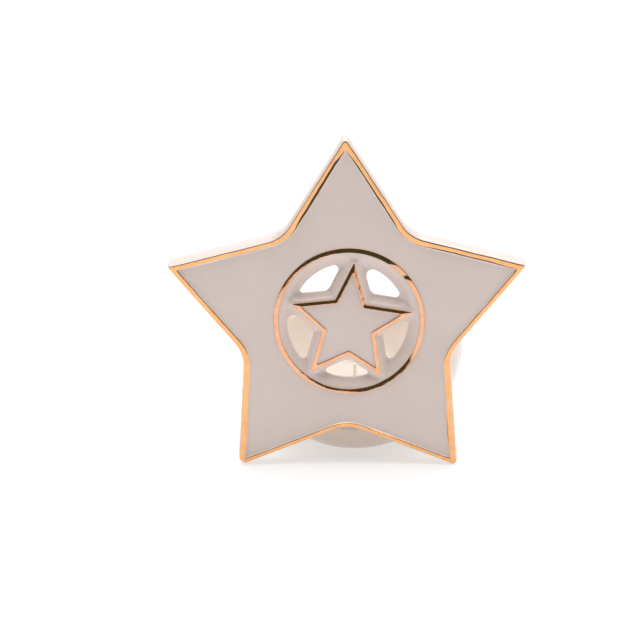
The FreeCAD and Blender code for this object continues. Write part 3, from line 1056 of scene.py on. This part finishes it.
def new_material(name):
    """A node material with a Principled shader; returns the material, its tree and the shader."""
    material = bpy.data.materials.new(name)
    material.use_nodes = True
    tree = material.node_tree
    tree.nodes.clear()
    output = add_node(tree, "OutputMaterial")
    shader = add_node(tree, "BsdfPrincipled")
    set_inputs(tree, output, {"Surface": shader.outputs["BSDF"]})
    return material, tree, shader


def noise_node(tree, scale, detail=2.0, rough=0.5):
    """Noise in the part's own metres; scale is in bumps per metre."""
    place = add_node(tree, "TexCoord").outputs["Object"]
    values = {"Scale": scale, "Detail": detail, "Roughness": rough, "Vector": place}
    return add_node(tree, "TexNoise", values).outputs["Fac"]


def ramp_node(tree, source, dark, light, low=NOISE_LOW, high=NOISE_HIGH):
    """Maps a value between low and high onto two colours."""
    ramp = add_node(tree, "ValToRGB", {"Fac": source})
    for element, place, colour in zip(ramp.color_ramp.elements, (low, high), (dark, light)):
        element.position = place
        element.color = (*colour, 1)
    return ramp.outputs["Color"]


def range_node(tree, source, to_low, to_high, low=NOISE_LOW, high=NOISE_HIGH):
    """Maps a value between low and high onto another range."""
    values = {"From Min": low, "From Max": high, "To Min": to_low, "To Max": to_high, "Value": source}
    return add_node(tree, "MapRange", values).outputs["Result"]


def mix_node(tree, share, first, second):
    """Blends a socket's colour with a second colour or, where the second is a number, two values."""
    node = tree.nodes.new("ShaderNodeMix")
    if isinstance(second, float):
        set_inputs(tree, node, {"Factor": share, 2: first, 3: second})
        return node.outputs[0]
    node.data_type = "RGBA"
    second = (*second, 1) if isinstance(second, tuple) else second
    set_inputs(tree, node, {"Factor": share, 6: first, 7: second})
    return node.outputs[2]


def relief(tree, shader, height, depth):
    """A fine relief of that depth in metres."""
    bump = add_node(tree, "Bump", {"Strength": 1.0, "Distance": depth, "Height": height})
    set_inputs(tree, shader, {"Normal": bump.outputs["Normal"]})


def glaze_material(name, colours):
    """Warm ivory glaze: a clear, smooth coat over pale clay, with faint cloudiness and ripple."""
    material, tree, shader = new_material(name)
    tint = ramp_node(tree, noise_node(tree, 45, 3.0, 0.55), *colours, 0.35, 0.65)
    sheen = range_node(tree, noise_node(tree, 90), 0.07, 0.13)
    set_inputs(tree, shader, {"Base Color": tint, "Roughness": sheen, "IOR": 1.5})
    relief(tree, shader, noise_node(tree, 260, 1.0), 0.00002)
    return material


def cup_tint(tree, glaze, place, height):
    """The glaze's colour over the cup: darker and browner below as painted shade, paler inside as painted
    light.
    """
    painted_shade = range_node(tree, height, 0.0, 1.0, *PAINTED_SHADE_HEIGHTS)
    outside = mix_node(tree, painted_shade, glaze, CUP_PAINTED_SHADE_BELOW)
    middle = (CUP_AXIS[0] * MM, CUP_AXIS[1] * MM, WIDEST_HEIGHT * MM)
    away = add_node(tree, "VectorMath", {0: place, 1: middle})
    away.operation = "DISTANCE"
    painted_light = range_node(tree, away.outputs["Value"], 1.0, 0.0, *PAINTED_LIGHT_REACH)
    return mix_node(tree, painted_light, outside, CUP_PAINTED_LIGHT_INSIDE)


def wiped_foot(tree, height):
    """One where the clay is bare at the foot and zero above it, with a slightly uneven line between."""
    shift = range_node(tree, noise_node(tree, 120), -0.00015, 0.00015)
    line = add_node(tree, "Math", {0: height, 1: shift})
    return range_node(tree, line.outputs["Value"], 1.0, 0.0, *GLAZE_STARTS)


def cup_material():
    """The same glaze on the cup: paler inside as painted light, darker and browner down the outside as
    painted shade, and wiped away from the foot so that bare clay shows under it."""
    material = glaze_material("glaze_on_cup", CUP_GLAZE)
    tree = material.node_tree
    shader = next(n for n in tree.nodes if n.type == "BSDF_PRINCIPLED")
    glaze, sheen = (shader.inputs[name].links[0].from_socket for name in ("Base Color", "Roughness"))
    place = add_node(tree, "TexCoord").outputs["Object"]
    height = add_node(tree, "SeparateXYZ", {"Vector": place}).outputs["Z"]
    tint = cup_tint(tree, glaze, place, height)
    bare = wiped_foot(tree, height)
    clay = ramp_node(tree, noise_node(tree, 1500, 3.0), *BARE_CLAY)
    mixed = {"Base Color": mix_node(tree, bare, tint, clay), "Roughness": mix_node(tree, bare, sheen, 0.85)}
    set_inputs(tree, shader, mixed)
    return material


def metal_material(name, tint_noise, sheen_noise, colours, rough, high=NOISE_HIGH):
    """Metal with a mottled colour and an uneven polish. Returns the material, its tree and shader,
    and the noise that roughens it."""
    material, tree, shader = new_material(name)
    mottle = noise_node(tree, *tint_noise)
    tint = ramp_node(tree, mottle, *colours, NOISE_LOW, high)
    worn = noise_node(tree, *sheen_noise) if sheen_noise else mottle
    sheen = range_node(tree, worn, *rough)
    set_inputs(tree, shader, {"Metallic": 1.0, "Base Color": tint, "Roughness": sheen})
    return material, tree, shader, worn


def lustre_material(name, colours):
    """Fired gold lustre: bright metal, thinner and browner in places, with fine brush marks."""
    material, tree, shader, _ = metal_material(name, (380, 3.0, 0.6), (900,), colours, (0.05, 0.14), 0.62)
    relief(tree, shader, noise_node(tree, 1400), 0.000012)
    return material


def aluminium_material():
    """Thin drawn aluminium, a little dull, with drawing marks up its wall."""
    noise_of = (700, 4.0, 0.65)
    material, tree, shader, grain = metal_material("can_aluminium", noise_of, None, ALUMINIUM, (0.25, 0.42))
    relief(tree, shader, grain, 0.00001)
    return material


def wax_material():
    """White paraffin wax: light scatters inside it, and its top is slightly mottled."""
    material, tree, shader = new_material("wax")
    mottle = noise_node(tree, 350, 3.0)
    tint, sheen = ramp_node(tree, mottle, *WAX), range_node(tree, mottle, 0.38, 0.55)
    scatter = {"Subsurface Weight": 0.6, "Subsurface Radius": (1.0, 0.8, 0.6), "Subsurface Scale": 0.002}
    set_inputs(tree, shader, {"Base Color": tint, "Roughness": sheen, **scatter})
    relief(tree, shader, mottle, 0.00004)
    return material


def cotton_material():
    """Waxed cotton cord, off white."""
    material, tree, shader = new_material("wick_cotton")
    fibre = noise_node(tree, 6000, 3.0)
    set_inputs(tree, shader, {"Base Color": ramp_node(tree, fibre, *COTTON), "Roughness": 0.8})
    relief(tree, shader, fibre, 0.00005)
    return material


def tin_material():
    """Tinplate with a soft sheen."""
    return metal_material("tin_plate", (1200, 3.0), None, TIN, (0.30, 0.45))[0]


def floor_material():
    """Plain white sheet, lit softly from below as on a light table."""
    material, tree, shader = new_material("white_sweep")
    glow = {"Emission Color": (1, 1, 1, 1), "Emission Strength": 0.46}
    tint = ramp_node(tree, noise_node(tree, 60), *SHEET)
    set_inputs(tree, shader, {"Base Color": tint, "Roughness": 0.9, **glow})
    return material


# ---- putting the object together


def build_object():
    """Every piece with its material, each one in place of its CAD node."""
    glaze_panel = glaze_material("glaze_on_panel", GLAZE)
    glaze_medallion = glaze_material("glaze_on_medallion", GLAZE)
    glaze_cup = cup_material()
    border_lustre = lustre_material("gold_lustre_border", BORDER_LUSTRE)
    inner_lustre = lustre_material("gold_lustre_inner", INNER_LUSTRE)
    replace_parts(make_panel(glaze_panel), "star_panel")
    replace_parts(make_border_gilding(border_lustre), "outline_gold_line")
    # Dark strips along the gold's inner edge: a painted reflection of the dark surroundings.
    make_painted_reflection_edges(lustre_material("gold_lustre_painted_reflection", PAINTED_REFLECTION_LUSTRE))
    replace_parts(make_ring_gilding(inner_lustre), "ring_gold_line")
    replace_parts(make_small_star_gilding(inner_lustre), "small_star_gold_line")
    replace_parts(make_medallion(glaze_medallion), "pierced_medallion")
    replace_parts(make_cup(glaze_cup), "cup")
    make_luting(glaze_cup)
    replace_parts(make_can(aluminium_material()), "tealight_can")
    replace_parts(make_wax(wax_material()), "tealight_wax")
    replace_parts(make_wick(cotton_material()), "tealight_wick")
    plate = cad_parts["wick_sustainer"]
    for place in plate.material_slots:
        place.material = tin_material()


build_object()

# ---- floor, light and camera

FLOOR_SIZE = 4.0
FRONT_WALL = (0.065, 0.085, 0.062)
BACK_WALL = (0.80, 0.80, 0.80)
CEILING = (1.1, 1.1, 1.1)


def make_floor():
    """A wide plain sheet under the object."""
    corners = [(x * FLOOR_SIZE, y * FLOOR_SIZE, 0) for x, y in ((-1, -1), (1, -1), (1, 1), (-1, 1))]
    mesh = bpy.data.meshes.new("floor")
    mesh.from_pydata(corners, [], [(0, 1, 2, 3)])
    mesh.materials.append(floor_material())
    link("floor", mesh)


def softbox(name, place, target, width, height, power):
    """A rectangular area light at place, facing target; sizes in metres, power in watts."""
    data = bpy.data.lights.new(name, "AREA")
    data.shape = "RECTANGLE"
    data.size, data.size_y = width, height
    data.energy = power
    obj = link(name, data)
    obj.location = place
    obj.rotation_euler = (Vector(target) - Vector(place)).to_track_quat("-Z", "Y").to_euler()


def make_world():
    """Studio surroundings: a wide bright ceiling, pale sides and back, dark behind the camera."""
    world = bpy.data.worlds.new("studio")
    bpy.context.scene.world = world
    world.use_nodes = True
    tree = world.node_tree
    tree.nodes.clear()
    output = add_node(tree, "OutputWorld")
    background = add_node(tree, "Background")
    set_inputs(tree, output, {"Surface": background.outputs["Background"]})
    facing = add_node(tree, "SeparateXYZ", {"Vector": add_node(tree, "TexCoord").outputs["Generated"]})
    behind = range_node(tree, facing.outputs["Y"], 0.0, 1.0, -0.55, -0.1)
    walls = ramp_node(tree, behind, FRONT_WALL, BACK_WALL, 0.0, 1.0)
    overhead = range_node(tree, facing.outputs["Z"], 0.0, 1.0, 0.72, 0.82)
    set_inputs(tree, background, {"Color": mix_node(tree, overhead, walls, CEILING)})


def make_camera():
    """The camera, a little above the star and turned slightly, as the object was seen."""
    azimuth, elevation, roll = math.radians(1.652), math.radians(16.48), math.radians(0.626)
    distance, lens = 0.7189, 125.9
    across, above = -8.52, 0.65
    target = Vector((across * MM, CREST_Y * MM, (STAR_HEIGHT + above) * MM))
    back = Vector((
        math.sin(azimuth) * math.cos(elevation),
        -math.cos(azimuth) * math.cos(elevation),
        math.sin(elevation),
    ))
    data = bpy.data.cameras.new("camera")
    data.lens = lens
    data.sensor_width = 36
    data.clip_start = 0.01
    obj = link("camera", data)
    obj.location = target + back * distance
    facing = (-back).to_track_quat("-Z", "Y")
    obj.rotation_euler = (facing @ Matrix.Rotation(-roll, 3, "Z").to_quaternion()).to_euler()
    bpy.context.scene.camera = obj


make_floor()
softbox("light_above", place=(0.0, 0.12, 0.75), target=(0, 0.05, 0), width=0.9, height=0.8, power=4.6)
make_world()
make_camera()
bpy.context.scene.view_settings.view_transform = "Standard"
